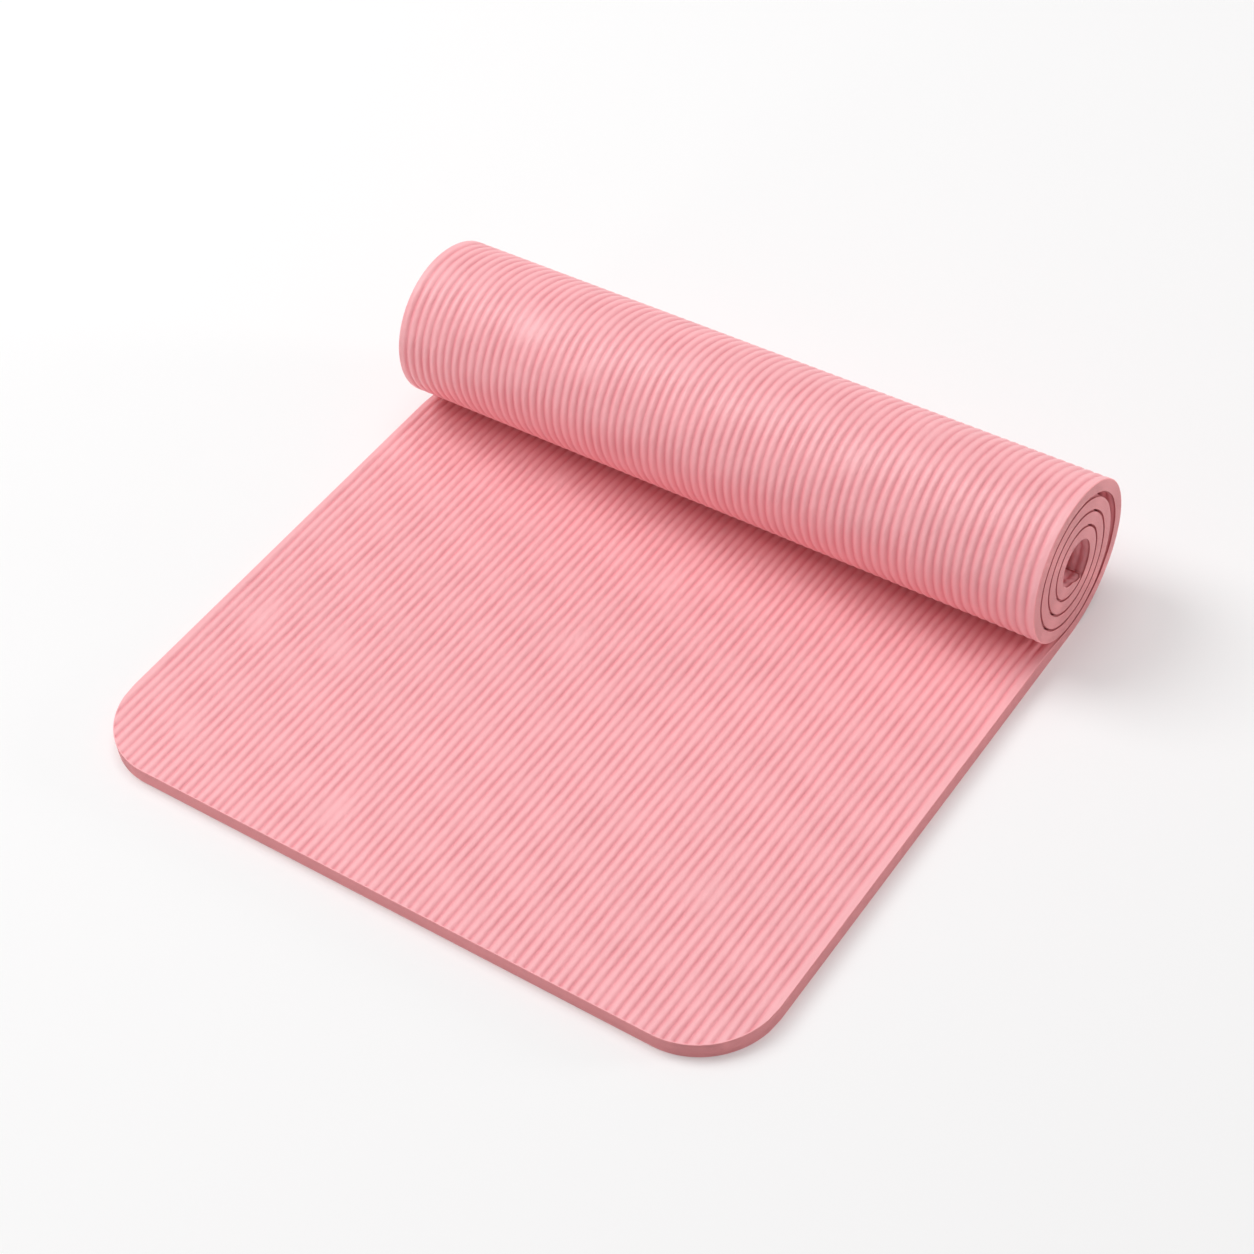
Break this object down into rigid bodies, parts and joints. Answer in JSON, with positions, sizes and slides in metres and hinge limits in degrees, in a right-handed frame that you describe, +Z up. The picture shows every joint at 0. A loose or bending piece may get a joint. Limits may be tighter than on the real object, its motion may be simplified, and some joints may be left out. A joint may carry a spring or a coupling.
{
  "type": "yoga mat",
  "caption": "Ribbed foam exercise mat, one slab lying flat in front with two rounded corners and rolled up at the back.",
  "frame": {"origin": "on the floor, under the middle of the mat's bounding box", "axes": "+X across the mat's width, +Y from the front edge towards the roll, +Z up"},
  "size_m": [0.61, 0.5749, 0.1432],
  "materials": {
    "foam": "matte"
  },
  "bodies": {
    "flat_panel": {"flat_panel": "foam"},
    "roll_section_01": {"roll_section_01": "foam"},
    "roll_section_02": {"roll_section_02": "foam"},
    "roll_section_03": {"roll_section_03": "foam"},
    "roll_section_04": {"roll_section_04": "foam"},
    "roll_section_05": {"roll_section_05": "foam"},
    "roll_section_06": {"roll_section_06": "foam"},
    "roll_section_07": {"roll_section_07": "foam"},
    "roll_section_08": {"roll_section_08": "foam"},
    "roll_section_09": {"roll_section_09": "foam"},
    "roll_section_10": {"roll_section_10": "foam"},
    "roll_section_11": {"roll_section_11": "foam"},
    "roll_section_12": {"roll_section_12": "foam"},
    "roll_section_13": {"roll_section_13": "foam"},
    "roll_section_14": {"roll_section_14": "foam"},
    "roll_section_15": {"roll_section_15": "foam"},
    "roll_section_16": {"roll_section_16": "foam"},
    "roll_section_17": {"roll_section_17": "foam"},
    "roll_section_18": {"roll_section_18": "foam"},
    "roll_section_19": {"roll_section_19": "foam"},
    "roll_section_20": {"roll_section_20": "foam"},
    "roll_section_21": {"roll_section_21": "foam"},
    "roll_section_22": {"roll_section_22": "foam"},
    "roll_section_23": {"roll_section_23": "foam"},
    "roll_section_24": {"roll_section_24": "foam"},
    "roll_section_25": {"roll_section_25": "foam"},
    "roll_section_26": {"roll_section_26": "foam"},
    "roll_section_27": {"roll_section_27": "foam"},
    "roll_section_28": {"roll_section_28": "foam"},
    "roll_section_29": {"roll_section_29": "foam"},
    "roll_section_30": {"roll_section_30": "foam"},
    "roll_section_31": {"roll_section_31": "foam"},
    "roll_section_32": {"roll_section_32": "foam"},
    "roll_section_33": {"roll_section_33": "foam"},
    "roll_section_34": {"roll_section_34": "foam"},
    "roll_section_35": {"roll_section_35": "foam"},
    "roll_section_36": {"roll_section_36": "foam"},
    "roll_section_37": {"roll_section_37": "foam"},
    "roll_section_38": {"roll_section_38": "foam"},
    "roll_section_39": {"roll_section_39": "foam"},
    "roll_section_40": {"roll_section_40": "foam"},
    "roll_section_41": {"roll_section_41": "foam"},
    "roll_section_42": {"roll_section_42": "foam"},
    "roll_section_43": {"roll_section_43": "foam"},
    "roll_section_44": {"roll_section_44": "foam"},
    "roll_section_45": {"roll_section_45": "foam"},
    "roll_section_46": {"roll_section_46": "foam"},
    "roll_section_47": {"roll_section_47": "foam"},
    "roll_section_48": {"roll_section_48": "foam"},
    "roll_section_49": {"roll_section_49": "foam"},
    "roll_section_50": {"roll_section_50": "foam"},
    "roll_section_51": {"roll_section_51": "foam"},
    "roll_section_52": {"roll_section_52": "foam"},
    "roll_section_53": {"roll_section_53": "foam"},
    "roll_section_54": {"roll_section_54": "foam"},
    "roll_section_55": {"roll_section_55": "foam"},
    "roll_section_56": {"roll_section_56": "foam"},
    "roll_section_57": {"roll_section_57": "foam"}
  },
  "joints": [
    {"name": "unroll", "type": "hinge", "parent": "flat_panel", "child": "roll_section_01", "pos_m": [0, 0.22586, 0], "axis": [-1, 0, 0], "range_deg": [0, 25.71]},
    {"name": "flex_02", "type": "hinge", "parent": "roll_section_01", "child": "roll_section_02", "pos_m": [0, 0.25957, 0.01624], "axis": [-1, 0, 0], "range_deg": [0, 25.71]},
    {"name": "flex_03", "type": "hinge", "parent": "roll_section_02", "child": "roll_section_03", "pos_m": [0, 0.28063, 0.04265], "axis": [-1, 0, 0], "range_deg": [0, 25.71]},
    {"name": "flex_04", "type": "hinge", "parent": "roll_section_03", "child": "roll_section_04", "pos_m": [0, 0.28748, 0.07266], "axis": [-1, 0, 0], "range_deg": [0, 25.71]},
    {"name": "flex_05", "type": "hinge", "parent": "roll_section_04", "child": "roll_section_05", "pos_m": [0, 0.28072, 0.10228], "axis": [-1, 0, 0], "range_deg": [0, 25.71]},
    {"name": "flex_06", "type": "hinge", "parent": "roll_section_05", "child": "roll_section_06", "pos_m": [0, 0.2604, 0.12777], "axis": [-1, 0, 0], "range_deg": [0, 25.71]},
    {"name": "flex_07", "type": "hinge", "parent": "roll_section_06", "child": "roll_section_07", "pos_m": [0, 0.22846, 0.14315], "axis": [-1, 0, 0], "range_deg": [0, 25.71]},
    {"name": "flex_08", "type": "hinge", "parent": "roll_section_07", "child": "roll_section_08", "pos_m": [0, 0.19456, 0.14315], "axis": [-1, 0, 0], "range_deg": [0, 25.71]},
    {"name": "flex_09", "type": "hinge", "parent": "roll_section_08", "child": "roll_section_09", "pos_m": [0, 0.16673, 0.12974], "axis": [-1, 0, 0], "range_deg": [0, 25.71]},
    {"name": "flex_10", "type": "hinge", "parent": "roll_section_09", "child": "roll_section_10", "pos_m": [0, 0.14771, 0.1059], "axis": [-1, 0, 0], "range_deg": [0, 25.71]},
    {"name": "flex_11", "type": "hinge", "parent": "roll_section_10", "child": "roll_section_11", "pos_m": [0, 0.14101, 0.07654], "axis": [-1, 0, 0], "range_deg": [0, 25.71]},
    {"name": "flex_12", "type": "hinge", "parent": "roll_section_11", "child": "roll_section_12", "pos_m": [0, 0.14762, 0.04757], "axis": [-1, 0, 0], "range_deg": [0, 25.71]},
    {"name": "flex_13", "type": "hinge", "parent": "roll_section_12", "child": "roll_section_13", "pos_m": [0, 0.1659, 0.02465], "axis": [-1, 0, 0], "range_deg": [0, 25.71]},
    {"name": "flex_14", "type": "hinge", "parent": "roll_section_13", "child": "roll_section_14", "pos_m": [0, 0.19196, 0.0121], "axis": [-1, 0, 0], "range_deg": [0, 25.71]},
    {"name": "flex_15", "type": "hinge", "parent": "roll_section_14", "child": "roll_section_15", "pos_m": [0, 0.22049, 0.0121], "axis": [-1, 0, 0], "range_deg": [0, 25.71]},
    {"name": "flex_16", "type": "hinge", "parent": "roll_section_15", "child": "roll_section_16", "pos_m": [0, 0.24584, 0.02431], "axis": [-1, 0, 0], "range_deg": [0, 25.71]},
    {"name": "flex_17", "type": "hinge", "parent": "roll_section_16", "child": "roll_section_17", "pos_m": [0, 0.26314, 0.046], "axis": [-1, 0, 0], "range_deg": [0, 25.71]},
    {"name": "flex_18", "type": "hinge", "parent": "roll_section_17", "child": "roll_section_18", "pos_m": [0, 0.26922, 0.07266], "axis": [-1, 0, 0], "range_deg": [0, 25.71]},
    {"name": "flex_19", "type": "hinge", "parent": "roll_section_18", "child": "roll_section_19", "pos_m": [0, 0.26322, 0.09893], "axis": [-1, 0, 0], "range_deg": [0, 25.71]},
    {"name": "flex_20", "type": "hinge", "parent": "roll_section_19", "child": "roll_section_20", "pos_m": [0, 0.24667, 0.1197], "axis": [-1, 0, 0], "range_deg": [0, 25.71]},
    {"name": "flex_21", "type": "hinge", "parent": "roll_section_20", "child": "roll_section_21", "pos_m": [0, 0.22309, 0.13105], "axis": [-1, 0, 0], "range_deg": [0, 25.71]},
    {"name": "flex_22", "type": "hinge", "parent": "roll_section_21", "child": "roll_section_22", "pos_m": [0, 0.19733, 0.13105], "axis": [-1, 0, 0], "range_deg": [0, 25.71]},
    {"name": "flex_23", "type": "hinge", "parent": "roll_section_22", "child": "roll_section_23", "pos_m": [0, 0.17446, 0.12004], "axis": [-1, 0, 0], "range_deg": [0, 25.71]},
    {"name": "flex_24", "type": "hinge", "parent": "roll_section_23", "child": "roll_section_24", "pos_m": [0, 0.15889, 0.10051], "axis": [-1, 0, 0], "range_deg": [0, 25.71]},
    {"name": "flex_25", "type": "hinge", "parent": "roll_section_24", "child": "roll_section_25", "pos_m": [0, 0.15342, 0.07654], "axis": [-1, 0, 0], "range_deg": [0, 25.71]},
    {"name": "flex_26", "type": "hinge", "parent": "roll_section_25", "child": "roll_section_26", "pos_m": [0, 0.1588, 0.05296], "axis": [-1, 0, 0], "range_deg": [0, 25.71]},
    {"name": "flex_27", "type": "hinge", "parent": "roll_section_26", "child": "roll_section_27", "pos_m": [0, 0.17364, 0.03435], "axis": [-1, 0, 0], "range_deg": [0, 25.71]},
    {"name": "flex_28", "type": "hinge", "parent": "roll_section_27", "child": "roll_section_28", "pos_m": [0, 0.19472, 0.0242], "axis": [-1, 0, 0], "range_deg": [0, 25.71]},
    {"name": "flex_29", "type": "hinge", "parent": "roll_section_28", "child": "roll_section_29", "pos_m": [0, 0.21773, 0.0242], "axis": [-1, 0, 0], "range_deg": [0, 25.71]},
    {"name": "flex_30", "type": "hinge", "parent": "roll_section_29", "child": "roll_section_30", "pos_m": [0, 0.2381, 0.03401], "axis": [-1, 0, 0], "range_deg": [0, 25.71]},
    {"name": "flex_31", "type": "hinge", "parent": "roll_section_30", "child": "roll_section_31", "pos_m": [0, 0.25195, 0.05138], "axis": [-1, 0, 0], "range_deg": [0, 25.71]},
    {"name": "flex_32", "type": "hinge", "parent": "roll_section_31", "child": "roll_section_32", "pos_m": [0, 0.25681, 0.07266], "axis": [-1, 0, 0], "range_deg": [0, 25.71]},
    {"name": "flex_33", "type": "hinge", "parent": "roll_section_32", "child": "roll_section_33", "pos_m": [0, 0.25204, 0.09355], "axis": [-1, 0, 0], "range_deg": [0, 25.71]},
    {"name": "flex_34", "type": "hinge", "parent": "roll_section_33", "child": "roll_section_34", "pos_m": [0, 0.23893, 0.10999], "axis": [-1, 0, 0], "range_deg": [0, 25.71]},
    {"name": "flex_35", "type": "hinge", "parent": "roll_section_34", "child": "roll_section_35", "pos_m": [0, 0.22033, 0.11895], "axis": [-1, 0, 0], "range_deg": [0, 25.71]},
    {"name": "flex_36", "type": "hinge", "parent": "roll_section_35", "child": "roll_section_36", "pos_m": [0, 0.20009, 0.11895], "axis": [-1, 0, 0], "range_deg": [0, 25.71]},
    {"name": "flex_37", "type": "hinge", "parent": "roll_section_36", "child": "roll_section_37", "pos_m": [0, 0.1822, 0.11034], "axis": [-1, 0, 0], "range_deg": [0, 25.71]},
    {"name": "flex_38", "type": "hinge", "parent": "roll_section_37", "child": "roll_section_38", "pos_m": [0, 0.17007, 0.09513], "axis": [-1, 0, 0], "range_deg": [0, 25.71]},
    {"name": "flex_39", "type": "hinge", "parent": "roll_section_38", "child": "roll_section_39", "pos_m": [0, 0.16583, 0.07654], "axis": [-1, 0, 0], "range_deg": [0, 25.71]},
    {"name": "flex_40", "type": "hinge", "parent": "roll_section_39", "child": "roll_section_40", "pos_m": [0, 0.16998, 0.05834], "axis": [-1, 0, 0], "range_deg": [0, 25.71]},
    {"name": "flex_41", "type": "hinge", "parent": "roll_section_40", "child": "roll_section_41", "pos_m": [0, 0.18138, 0.04406], "axis": [-1, 0, 0], "range_deg": [0, 25.71]},
    {"name": "flex_42", "type": "hinge", "parent": "roll_section_41", "child": "roll_section_42", "pos_m": [0, 0.19748, 0.0363], "axis": [-1, 0, 0], "range_deg": [0, 25.71]},
    {"name": "flex_43", "type": "hinge", "parent": "roll_section_42", "child": "roll_section_43", "pos_m": [0, 0.21497, 0.0363], "axis": [-1, 0, 0], "range_deg": [0, 25.71]},
    {"name": "flex_44", "type": "hinge", "parent": "roll_section_43", "child": "roll_section_44", "pos_m": [0, 0.23036, 0.04371], "axis": [-1, 0, 0], "range_deg": [0, 25.71]},
    {"name": "flex_45", "type": "hinge", "parent": "roll_section_44", "child": "roll_section_45", "pos_m": [0, 0.24077, 0.05677], "axis": [-1, 0, 0], "range_deg": [0, 25.71]},
    {"name": "flex_46", "type": "hinge", "parent": "roll_section_45", "child": "roll_section_46", "pos_m": [0, 0.2444, 0.07266], "axis": [-1, 0, 0], "range_deg": [0, 25.71]},
    {"name": "flex_47", "type": "hinge", "parent": "roll_section_46", "child": "roll_section_47", "pos_m": [0, 0.24086, 0.08816], "axis": [-1, 0, 0], "range_deg": [0, 25.71]},
    {"name": "flex_48", "type": "hinge", "parent": "roll_section_47", "child": "roll_section_48", "pos_m": [0, 0.23119, 0.10029], "axis": [-1, 0, 0], "range_deg": [0, 25.71]},
    {"name": "flex_49", "type": "hinge", "parent": "roll_section_48", "child": "roll_section_49", "pos_m": [0, 0.21757, 0.10685], "axis": [-1, 0, 0], "range_deg": [0, 25.71]},
    {"name": "flex_50", "type": "hinge", "parent": "roll_section_49", "child": "roll_section_50", "pos_m": [0, 0.20285, 0.10685], "axis": [-1, 0, 0], "range_deg": [0, 25.71]},
    {"name": "flex_51", "type": "hinge", "parent": "roll_section_50", "child": "roll_section_51", "pos_m": [0, 0.18994, 0.10063], "axis": [-1, 0, 0], "range_deg": [0, 25.71]},
    {"name": "flex_52", "type": "hinge", "parent": "roll_section_51", "child": "roll_section_52", "pos_m": [0, 0.18125, 0.08974], "axis": [-1, 0, 0], "range_deg": [0, 25.71]},
    {"name": "flex_53", "type": "hinge", "parent": "roll_section_52", "child": "roll_section_53", "pos_m": [0, 0.17824, 0.07654], "axis": [-1, 0, 0], "range_deg": [0, 25.71]},
    {"name": "flex_54", "type": "hinge", "parent": "roll_section_53", "child": "roll_section_54", "pos_m": [0, 0.18117, 0.06373], "axis": [-1, 0, 0], "range_deg": [0, 25.71]},
    {"name": "flex_55", "type": "hinge", "parent": "roll_section_54", "child": "roll_section_55", "pos_m": [0, 0.18911, 0.05376], "axis": [-1, 0, 0], "range_deg": [0, 25.71]},
    {"name": "flex_56", "type": "hinge", "parent": "roll_section_55", "child": "roll_section_56", "pos_m": [0, 0.20025, 0.0484], "axis": [-1, 0, 0], "range_deg": [0, 25.71]},
    {"name": "flex_57", "type": "hinge", "parent": "roll_section_56", "child": "roll_section_57", "pos_m": [0, 0.21221, 0.0484], "axis": [-1, 0, 0], "range_deg": [0, 25.71]}
  ],
  "couplings": [
    {"joint": "flex_02", "follows": "unroll", "ratio": 1},
    {"joint": "flex_03", "follows": "unroll", "ratio": 1},
    {"joint": "flex_04", "follows": "unroll", "ratio": 1},
    {"joint": "flex_05", "follows": "unroll", "ratio": 1},
    {"joint": "flex_06", "follows": "unroll", "ratio": 1},
    {"joint": "flex_07", "follows": "unroll", "ratio": 1},
    {"joint": "flex_08", "follows": "unroll", "ratio": 1},
    {"joint": "flex_09", "follows": "unroll", "ratio": 1},
    {"joint": "flex_10", "follows": "unroll", "ratio": 1},
    {"joint": "flex_11", "follows": "unroll", "ratio": 1},
    {"joint": "flex_12", "follows": "unroll", "ratio": 1},
    {"joint": "flex_13", "follows": "unroll", "ratio": 1},
    {"joint": "flex_14", "follows": "unroll", "ratio": 1},
    {"joint": "flex_15", "follows": "unroll", "ratio": 1},
    {"joint": "flex_16", "follows": "unroll", "ratio": 1},
    {"joint": "flex_17", "follows": "unroll", "ratio": 1},
    {"joint": "flex_18", "follows": "unroll", "ratio": 1},
    {"joint": "flex_19", "follows": "unroll", "ratio": 1},
    {"joint": "flex_20", "follows": "unroll", "ratio": 1},
    {"joint": "flex_21", "follows": "unroll", "ratio": 1},
    {"joint": "flex_22", "follows": "unroll", "ratio": 1},
    {"joint": "flex_23", "follows": "unroll", "ratio": 1},
    {"joint": "flex_24", "follows": "unroll", "ratio": 1},
    {"joint": "flex_25", "follows": "unroll", "ratio": 1},
    {"joint": "flex_26", "follows": "unroll", "ratio": 1},
    {"joint": "flex_27", "follows": "unroll", "ratio": 1},
    {"joint": "flex_28", "follows": "unroll", "ratio": 1},
    {"joint": "flex_29", "follows": "unroll", "ratio": 1},
    {"joint": "flex_30", "follows": "unroll", "ratio": 1},
    {"joint": "flex_31", "follows": "unroll", "ratio": 1},
    {"joint": "flex_32", "follows": "unroll", "ratio": 1},
    {"joint": "flex_33", "follows": "unroll", "ratio": 1},
    {"joint": "flex_34", "follows": "unroll", "ratio": 1},
    {"joint": "flex_35", "follows": "unroll", "ratio": 1},
    {"joint": "flex_36", "follows": "unroll", "ratio": 1},
    {"joint": "flex_37", "follows": "unroll", "ratio": 1},
    {"joint": "flex_38", "follows": "unroll", "ratio": 1},
    {"joint": "flex_39", "follows": "unroll", "ratio": 1},
    {"joint": "flex_40", "follows": "unroll", "ratio": 1},
    {"joint": "flex_41", "follows": "unroll", "ratio": 1},
    {"joint": "flex_42", "follows": "unroll", "ratio": 1},
    {"joint": "flex_43", "follows": "unroll", "ratio": 1},
    {"joint": "flex_44", "follows": "unroll", "ratio": 1},
    {"joint": "flex_45", "follows": "unroll", "ratio": 1},
    {"joint": "flex_46", "follows": "unroll", "ratio": 1},
    {"joint": "flex_47", "follows": "unroll", "ratio": 1},
    {"joint": "flex_48", "follows": "unroll", "ratio": 1},
    {"joint": "flex_49", "follows": "unroll", "ratio": 1},
    {"joint": "flex_50", "follows": "unroll", "ratio": 1},
    {"joint": "flex_51", "follows": "unroll", "ratio": 1},
    {"joint": "flex_52", "follows": "unroll", "ratio": 1},
    {"joint": "flex_53", "follows": "unroll", "ratio": 1},
    {"joint": "flex_54", "follows": "unroll", "ratio": 1},
    {"joint": "flex_55", "follows": "unroll", "ratio": 1},
    {"joint": "flex_56", "follows": "unroll", "ratio": 1},
    {"joint": "flex_57", "follows": "unroll", "ratio": 1}
  ]
}
